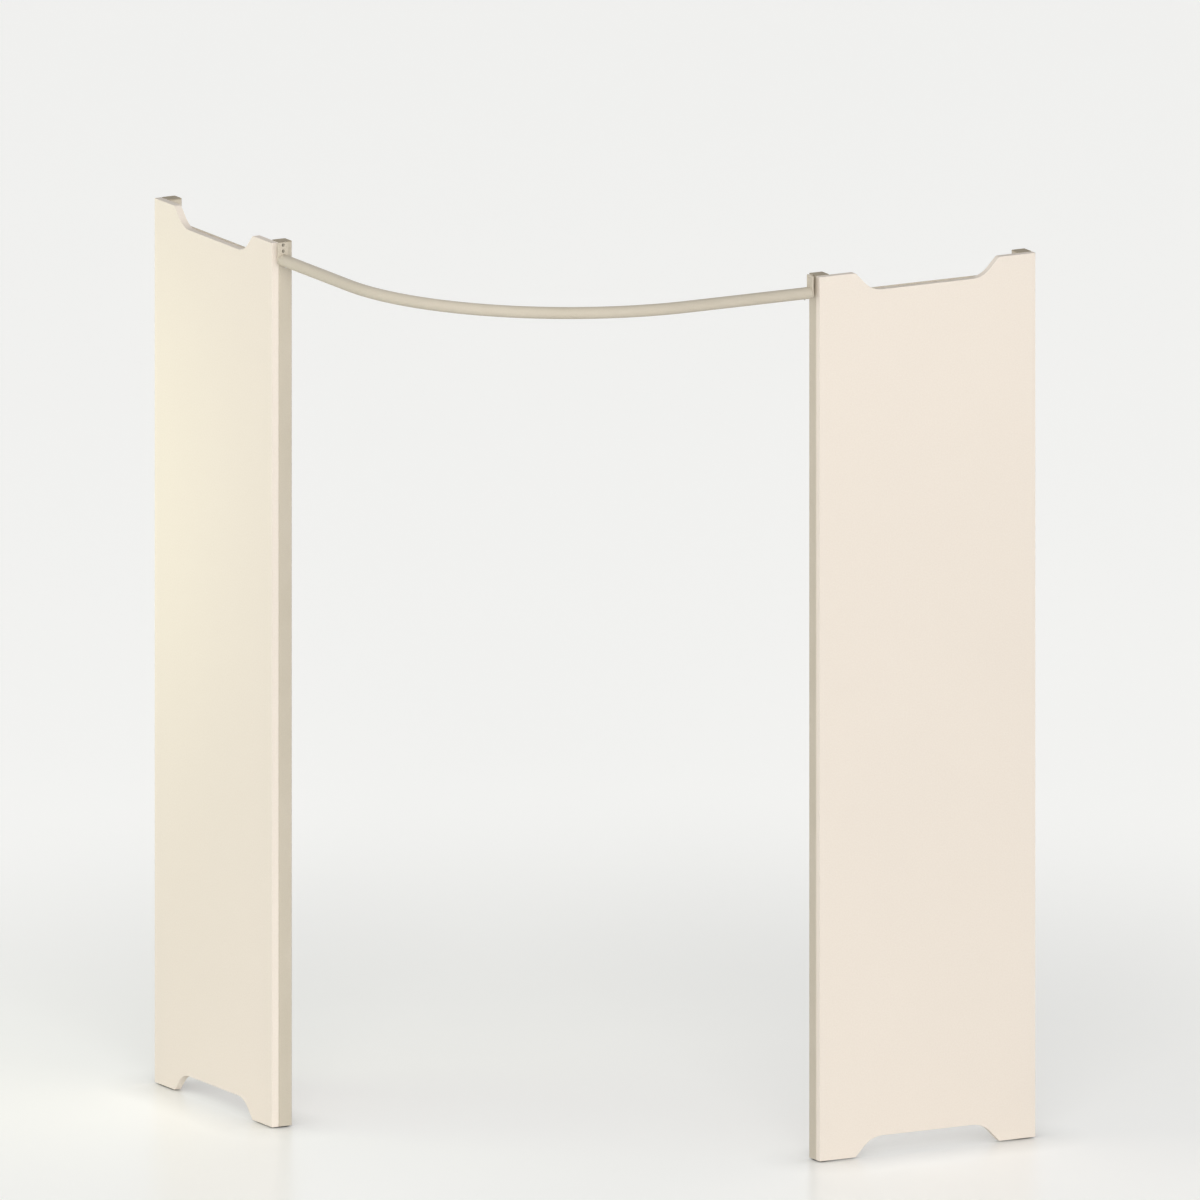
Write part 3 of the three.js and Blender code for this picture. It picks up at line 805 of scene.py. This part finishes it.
def make_grub_screw(side, material):
    """The headless screw through the rail's wall from below, with its socket at its lower end."""
    top = RAIL_HEIGHT - RAIL_RADIUS + RAIL_WALL
    along = RAIL_START + GRUB_DISTANCE
    low = top - GRUB_SCREW["length"]
    tip = circle(GRUB_TIP_RADIUS, SCREW_SIDES)
    shank = circle(GRUB_SCREW["shank"], SCREW_SIDES)
    socket = hexagon(GRUB_SCREW["socket"], SCREW_SIDES)
    socket_end = low + GRUB_SCREW["depth"]
    bm = bmesh.new()
    rings = []
    for outline, height in ((tip, top), (shank, top), (shank, low), (socket, low), (socket, socket_end)):
        rings.append(ring_of(bm, outline, lambda x, y, z: (PLATE_AXIS_INSET + x, along + y, z), height))
    bridge_rings(bm, rings)
    bm.faces.new(rings[0])
    bm.faces.new(rings[-1])
    name = f"{side}_grub_screw"
    new_piece(name, mesh_of(name, bm, SCREW_SHARP_ANGLE), material, "frame",
              [f"{side}_rail_grub_screw"], side)


# Strips behind the boards

def make_strip(side, level, top, coat, zinc):
    """One flat bar across the back of a board between its posts, with its screws."""
    start = POST_SIDE + STRIP_END_GAP
    back = PANEL_THICKNESS + SEAT_GAP + STRIP_THICKNESS
    middle = top - STRIP_HEIGHT / 2
    outline = rounded_rectangle(STRIP_LENGTH, STRIP_HEIGHT, STRIP_CORNER, STRIP_CORNER_STEPS)
    bm = bmesh.new()
    rounded_slab(bm, outline, back - STRIP_THICKNESS, back, STRIP_ROUND,
                 lambda u, v, across: (across, start + STRIP_LENGTH / 2 + u, middle + v))
    name = f"{side}_{level}_flat_bar"
    new_piece(name, mesh_of(name, bm), coat, "frame", [f"{side}_{level}_strip"], side)
    seat = back + SEAT_GAP
    length = seat - PANEL_THICKNESS + STRIP_SCREW["bite"] - SEAT_GAP
    for i, share in enumerate(STRIP_SCREW_SHARES):
        along = start + share * STRIP_LENGTH
        name = f"{side}_{level}_bar_screw_{i + 1}"
        mesh = screw_mesh(name, STRIP_SCREW, length, lambda x, y, w: (seat + w, along + x, middle + y))
        new_piece(name, mesh, zinc, "frame", [f"{side}_{level}_strip_screw_{i + 1}"], side)


# Rail plates, angles and the rail

def make_plate(side, material):
    """The plate at the rail's end, its screw sinks and the spigot inside the rail."""
    bm = bmesh.new()
    outline = rounded_rectangle(PLATE_WIDTH, PLATE_HEIGHT, PLATE_CORNER)
    middle = PLATE_TOP - PLATE_HEIGHT / 2
    rounded_slab(bm, outline, PLATE_START, PLATE_FACE, PLATE_ROUND,
                 lambda u, v, along: (PLATE_AXIS_INSET + u, along, middle + v))
    name = f"{side}_rail_end_plate"
    plate = new_piece(name, mesh_of(name, bm), material, "frame", [f"{side}_rail_plate"], side)
    cutters = bmesh.new()
    hole = PLATE_SCREW["shank"] + HOLE_CLEARANCE
    slope = (PLATE_SCREW["head"] - PLATE_SCREW["shank"]) / PLATE_SCREW["height"]
    sink_end = PLATE_FACE + PLATE_ROUND
    sink = PLATE_SCREW["head"] + SINK_CLEARANCE + slope * PLATE_ROUND
    for height in PLATE_SCREW_HEIGHTS:
        profile = [(0, PLATE_START - CUT_OVERRUN), (hole, PLATE_START - CUT_OVERRUN),
                   (hole, PLATE_FACE - PLATE_SCREW["height"]), (sink, sink_end), (0, sink_end)]
        lathe(cutters, profile, TURNED_SIDES, lambda x, y, w: (PLATE_AXIS_INSET + x, w, height + y))
    cut(plate, "screw_sinks", cutters, side)
    spigot_radius = RAIL_RADIUS - RAIL_WALL - SEAT_GAP
    spigot_start = PLATE_START + PLATE_THICKNESS / 2
    spigot_end = PLATE_FACE + SPIGOT_LENGTH
    spigot = bmesh.new()
    lathe(spigot, [(0, spigot_start), (spigot_radius, spigot_start), (spigot_radius, spigot_end),
                   (0, spigot_end)], TURNED_SIDES,
          lambda x, y, w: (PLATE_AXIS_INSET + x, w, RAIL_HEIGHT + y))
    name = f"{side}_rail_spigot"
    new_piece(name, mesh_of(name, spigot), material, "frame", [f"{side}_rail_plate"], side)


def make_angle(side, material):
    """The folded angle behind the plate, with its rounded fold and the two tapped holes."""
    low_across = ANGLE_FRONT_INSET
    high_across = PLATE_AXIS_INSET + PLATE_WIDTH / 2
    far = ANGLE_START + ANGLE_REACH
    near = far - ANGLE_THICKNESS
    web = high_across - ANGLE_THICKNESS
    outline = [(high_across, ANGLE_START)]
    outline += arc(high_across - FOLD_OUTER, far - FOLD_OUTER, FOLD_OUTER, 0, math.pi / 2,
                   FOLD_OUTER_STEPS)
    outline += [(low_across, far), (low_across, near)]
    outline += arc(web - FOLD_INNER, near - FOLD_INNER, FOLD_INNER, math.pi / 2, 0, FOLD_INNER_STEPS)
    outline += [(web, ANGLE_START)]
    bm = bmesh.new()
    rounded_slab(bm, outline, PLATE_TOP - PLATE_HEIGHT, PLATE_TOP - ANGLE_TOP_DROP, ANGLE_ROUND,
                 lambda across, along, up: (across, along, up))
    name = f"{side}_folded_angle"
    angle = new_piece(name, mesh_of(name, bm), material, "frame", [f"{side}_rail_angle"], side)
    cutters = bmesh.new()
    hole = PLATE_SCREW["shank"] + HOLE_CLEARANCE
    start = near - ANGLE_THICKNESS
    stop = far + ANGLE_THICKNESS
    for height in PLATE_SCREW_HEIGHTS:
        lathe(cutters, [(0, start), (hole, start), (hole, stop), (0, stop)], TURNED_SIDES,
              lambda x, y, w: (PLATE_AXIS_INSET + x, w, height + y))
    cut(angle, "angle_holes", cutters, side)


def rail_stations():
    """The centre and heading of each ring of the rail, from the left plate to the right one."""
    axis = PLATE_AXIS_INSET - HALF_PLAN
    centre = axis + RAIL_BEND
    start = HALF_PLAN - RAIL_START
    stations = []
    leg_steps = 8
    bend_steps = 120
    for i in range(leg_steps):
        stations.append(((axis, start - RAIL_LEG * i / leg_steps), (0, -1)))
    for i in range(bend_steps + 1):
        angle = math.pi / 2 * i / bend_steps
        stations.append(((centre - RAIL_BEND * math.cos(angle), centre - RAIL_BEND * math.sin(angle)),
                         (math.sin(angle), -math.cos(angle))))
    for i in range(1, leg_steps + 1):
        stations.append(((centre + RAIL_LEG * i / leg_steps, axis), (1, 0)))
    return stations


def make_rail(material):
    """One bent tube with eased ends."""
    sides = TURNED_SIDES
    bore = RAIL_RADIUS - RAIL_WALL
    stations = rail_stations()
    first, last = stations[0], stations[-1]
    axis_height = FLOOR_GAP + RAIL_HEIGHT

    def ring(bm, station, radius, slide=0):
        (x, y), (hx, hy) = station
        points = []
        for i in range(sides):
            angle = 2 * math.pi * i / sides
            out = radius * math.cos(angle)
            points.append(bm.verts.new((x + hx * slide - hy * out, y + hy * slide + hx * out,
                                        axis_height + radius * math.sin(angle))))
        return points

    bm = bmesh.new()
    ease = TUBE_END_ROUND
    rings = [ring(bm, first, RAIL_RADIUS - ease), ring(bm, first, RAIL_RADIUS, ease)]
    rings += [ring(bm, station, RAIL_RADIUS) for station in stations[1:-1]]
    rings += [ring(bm, last, RAIL_RADIUS, -ease), ring(bm, last, RAIL_RADIUS - ease)]
    rings += [ring(bm, station, bore) for station in reversed(stations)]
    bridge_rings(bm, rings, closed=True)
    mesh = mesh_of("curved_rail", bm)
    rail = new_piece("curved_rail", mesh, material, "frame", ["curtain_rail"])
    cutters = bmesh.new()
    hole = GRUB_SCREW["shank"] + HOLE_CLEARANCE
    for axes in SIDES.values():
        spot = axes @ Vector((PLATE_AXIS_INSET, RAIL_START + GRUB_DISTANCE, 0))
        low = axis_height - RAIL_RADIUS - CUT_OVERRUN
        lathe(cutters, [(0, low), (hole, low), (hole, axis_height), (0, axis_height)], HOLE_SIDES,
              lambda x, y, z: (spot.x + x, spot.y + y, z))
    cut(rail, "grub_holes", cutters)


# Floor, world and lamps

def floor_material():
    """A pale floor with a soft sheen. It glows a little for the camera and in reflections, as painted
    light, more so away from the object, so it reads as a white studio floor and still takes the object's
    shadow. Beside what stands on it, ambient occlusion paints contact shade into its tone and its glow, for
    the camera and reflections only."""
    n = Nodes("pale_floor")
    tone = n.ramp(n.noise(1.5, 3), [(0.1, srgb(241, 241, 239)), (0.9, srgb(243, 243, 241))])
    # Ambient occlusion, used as the mask of the floor's painted contact shade
    contact_shade_mask = n.add("ShaderNodeAmbientOcclusion", samples=8)
    contact_shade_mask.inputs["Distance"].default_value = PAINTED_SHADE_REACH
    # The tone darkened beside what stands on it: painted contact shade, seen by the camera and in
    # reflections
    painted_shade_tone = n.add("ShaderNodeVectorMath", operation="SCALE")
    n.link(tone, painted_shade_tone.inputs[0])
    n.link(n.ranged(contact_shade_mask.outputs["AO"], PAINTED_SHADE_SHARE, 1), painted_shade_tone.inputs["Scale"])
    rays = n.add("ShaderNodeLightPath")
    seen = n.add("ShaderNodeMath", operation="MAXIMUM")
    n.link(rays.outputs["Is Camera Ray"], seen.inputs[0])
    n.link(rays.outputs["Is Glossy Ray"], seen.inputs[1])
    colour = n.mixed(seen.outputs[0], tone, painted_shade_tone.outputs["Vector"])
    n.set(Base_Color=colour, Roughness=n.ranged(n.noise(3, 1), 0.26, 0.272), Specular_IOR_Level=0.3)
    reach = n.add("ShaderNodeVectorMath", operation="LENGTH")
    n.link(n.place, reach.inputs[0])
    # The painted glow is weaker near the middle, where the object stands, and stronger far off
    ring = n.add("ShaderNodeMapRange", interpolation_type="SMOOTHSTEP")
    for socket, value in (("From Min", GLOW_NEAR), ("From Max", GLOW_FAR), ("To Min", FLOOR_GLOW),
                          ("To Max", FAR_GLOW)):
        ring.inputs[socket].default_value = value
    n.link(reach.outputs["Value"], ring.inputs["Value"])
    # The glow is darkened by the ambient occlusion too, as painted contact shade
    shaded = n.add("ShaderNodeMath", operation="MULTIPLY")
    n.link(ring.outputs["Result"], shaded.inputs[0])
    n.link(contact_shade_mask.outputs["AO"], shaded.inputs[1])
    glow = n.add("ShaderNodeEmission")
    glow.inputs["Color"].default_value = srgb(255, 255, 253)
    n.link(shaded.outputs[0], glow.inputs["Strength"])
    both = n.add("ShaderNodeAddShader")
    choice = n.add("ShaderNodeMixShader")
    n.link(n.shader.outputs[0], both.inputs[0])
    n.link(glow.outputs[0], both.inputs[1])
    n.link(seen.outputs[0], choice.inputs[0])
    n.link(n.shader.outputs[0], choice.inputs[1])
    n.link(both.outputs[0], choice.inputs[2])
    n.link(choice.outputs[0], n.tree.nodes["Material Output"].inputs["Surface"])
    return n.material


def make_floor():
    """The floor goes with the left free foot, so that the feet stand on it when all are screwed out."""
    bm = bmesh.new()
    bmesh.ops.create_grid(bm, x_segments=1, y_segments=1, size=FLOOR_REACH)
    mesh = bpy.data.meshes.new("floor")
    bm.to_mesh(mesh)
    bm.free()
    mesh.materials.append(floor_material())
    floor = bpy.data.objects.new("floor", mesh)
    bpy.context.scene.collection.objects.link(floor)
    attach(floor, "left_free_leveller")


def make_world():
    """Light that grows towards the horizon and the front. The camera and reflections see an even grey."""
    world = bpy.data.worlds.new("studio")
    world.use_nodes = True
    nodes = world.node_tree.nodes
    links = world.node_tree.links
    light = nodes["Background"]
    light.inputs["Color"].default_value = srgb(255, 255, 255)
    place = nodes.new("ShaderNodeTexCoord")
    parts = nodes.new("ShaderNodeSeparateXYZ")
    links.new(place.outputs["Generated"], parts.inputs[0])
    lowness = nodes.new("ShaderNodeMapRange")
    lowness.inputs["To Min"].default_value = 1
    lowness.inputs["To Max"].default_value = 0
    links.new(parts.outputs["Z"], lowness.inputs["Value"])
    fall = nodes.new("ShaderNodeMath")
    fall.operation = "POWER"
    fall.inputs[1].default_value = SKY_FALL
    links.new(lowness.outputs["Result"], fall.inputs[0])
    height_light = nodes.new("ShaderNodeMapRange")
    height_light.inputs["To Min"].default_value = SKY_TOP
    height_light.inputs["To Max"].default_value = SKY_HORIZON
    links.new(fall.outputs[0], height_light.inputs["Value"])
    ahead = nodes.new("ShaderNodeVectorMath")
    ahead.operation = "DOT_PRODUCT"
    ahead.inputs[1].default_value = (1, 1, 0)
    links.new(place.outputs["Generated"], ahead.inputs[0])
    side_light = nodes.new("ShaderNodeMapRange")
    for socket, value in (("From Min", -math.sqrt(2)), ("From Max", math.sqrt(2)), ("To Min", 1),
                          ("To Max", SKY_BACK_SHARE)):
        side_light.inputs[socket].default_value = value
    links.new(ahead.outputs["Value"], side_light.inputs["Value"])
    strength = nodes.new("ShaderNodeMath")
    strength.operation = "MULTIPLY"
    links.new(height_light.outputs["Result"], strength.inputs[0])
    links.new(side_light.outputs["Result"], strength.inputs[1])
    links.new(strength.outputs[0], light.inputs["Strength"])
    seen = nodes.new("ShaderNodeBackground")
    seen.inputs["Color"].default_value = srgb(240, 240, 239)
    rays = nodes.new("ShaderNodeLightPath")
    either = nodes.new("ShaderNodeMath")
    either.operation = "MAXIMUM"
    links.new(rays.outputs["Is Camera Ray"], either.inputs[0])
    links.new(rays.outputs["Is Glossy Ray"], either.inputs[1])
    choice = nodes.new("ShaderNodeMixShader")
    links.new(either.outputs[0], choice.inputs[0])
    links.new(light.outputs[0], choice.inputs[1])
    links.new(seen.outputs[0], choice.inputs[2])
    links.new(choice.outputs[0], nodes["World Output"].inputs["Surface"])
    bpy.context.scene.world = world


def make_lamp(name, aim):
    """A soft box aimed at a point and unseen itself. Its azimuth is 0 in front and grows to the left."""
    lamp_values = LAMPS[name]
    azimuth = math.radians(lamp_values["azimuth"])
    elevation = math.radians(lamp_values["elevation"])
    level = math.cos(elevation)
    back = Vector((-math.sin(azimuth) * level, -math.cos(azimuth) * level, math.sin(elevation)))
    data = bpy.data.lights.new(name, "AREA")
    data.shape = "RECTANGLE"
    data.size = lamp_values["width"]
    data.size_y = lamp_values["height"]
    data.spread = math.radians(lamp_values["spread"])
    data.energy = lamp_values["power"]
    data.color = srgb(*lamp_values["colour"])[:3]
    lamp = bpy.data.objects.new(name, data)
    bpy.context.scene.collection.objects.link(lamp)
    lamp.visible_camera = False
    lamp.visible_glossy = False
    lamp.location = aim + back * lamp_values["distance"]
    lamp.rotation_mode = "QUATERNION"
    lamp.rotation_quaternion = (-back).to_track_quat("-Z", "Y")


def make_lights():
    """A key from the front left, a warm box at the left board, one over the rail and a faint low one."""
    make_lamp("front_left_box", Vector((0, 0, FRONT_AIM_SHARE * PANEL_HEIGHT)))
    make_lamp("warm_side_box", Vector((-HALF_PLAN, HALF_PLAN, WARM_AIM_SHARE * PANEL_HEIGHT)))
    rail_axis = PLATE_AXIS_INSET - HALF_PLAN
    make_lamp("rail_box", Vector((rail_axis, -RAIL_AIM_SHARE * RAIL_LEG, RAIL_HEIGHT)))
    post_axis = POST_AXIS_DEPTH - HALF_PLAN
    make_lamp("low_front_box", Vector((post_axis, HALF_PLAN - PANEL_WIDTH, LOW_AIM_SHARE * PANEL_HEIGHT)))


def main():
    make_camera()
    board = board_material()
    coat = coat_material()
    cap = cap_material()
    dark = insert_material()
    zinc = zinc_material()
    for side in SIDES:
        make_board(side, board)
        for end, along in ENDS.items():
            make_post(side, end, along, coat)
            make_cap(side, end, along, cap)
            make_insert(side, end, along, dark)
            make_stem(side, end, along, zinc)
            make_pad(side, end, along, dark)
            make_panel_screws(side, end, along, zinc)
        make_strip(side, "upper", UPPER_STRIP_TOP, coat, zinc)
        make_strip(side, "lower", LOWER_STRIP_TOP, coat, zinc)
        make_angle(side, coat)
        make_plate(side, coat)
        make_plate_screws(side, coat)
        make_grub_screw(side, zinc)
    make_rail(coat)
    even_shading()
    make_floor()
    make_world()
    make_lights()
    bpy.context.scene.view_settings.view_transform = "Standard"


main()
